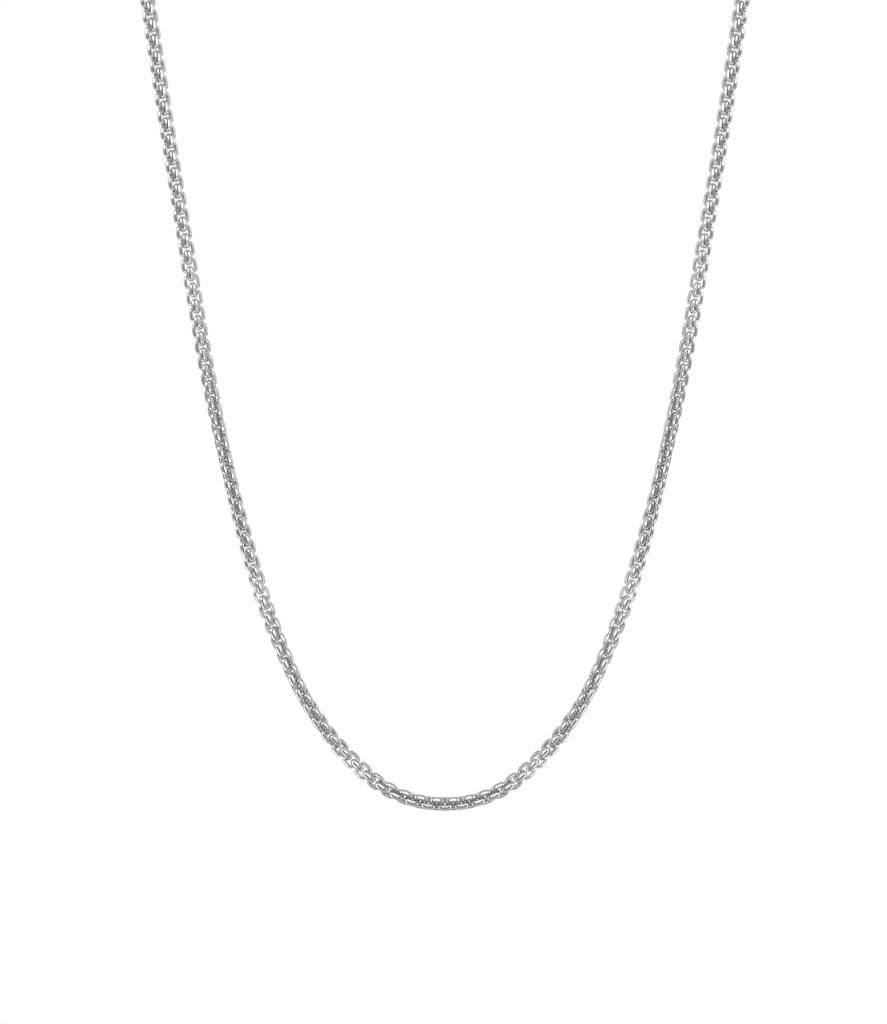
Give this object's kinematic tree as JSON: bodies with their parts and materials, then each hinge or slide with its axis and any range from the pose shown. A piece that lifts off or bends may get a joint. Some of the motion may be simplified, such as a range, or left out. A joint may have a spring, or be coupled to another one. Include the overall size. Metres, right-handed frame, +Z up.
{
  "type": "box chain necklace",
  "caption": "Necklace of round box chain: short rounded-square links of half-round strip, each turned a quarter from the last, in a closed loop with a plain clasp.",
  "frame": {"origin": "the middle of the clasp's inner face, where the worn chain rests on the nape of the neck", "axes": "+X across the wearer, +Y from the chest to the nape, +Z up"},
  "size_m": [0.1028, 0.0653, 0.1676],
  "materials": {
    "silver": "polished sterling silver"
  },
  "bodies": {
    "root": {"chain_front": "silver", "chain_rear": "silver", "clasp": "silver", "clasp_ring": "silver", "tag_ring": "silver"}
  },
  "joints": []
}
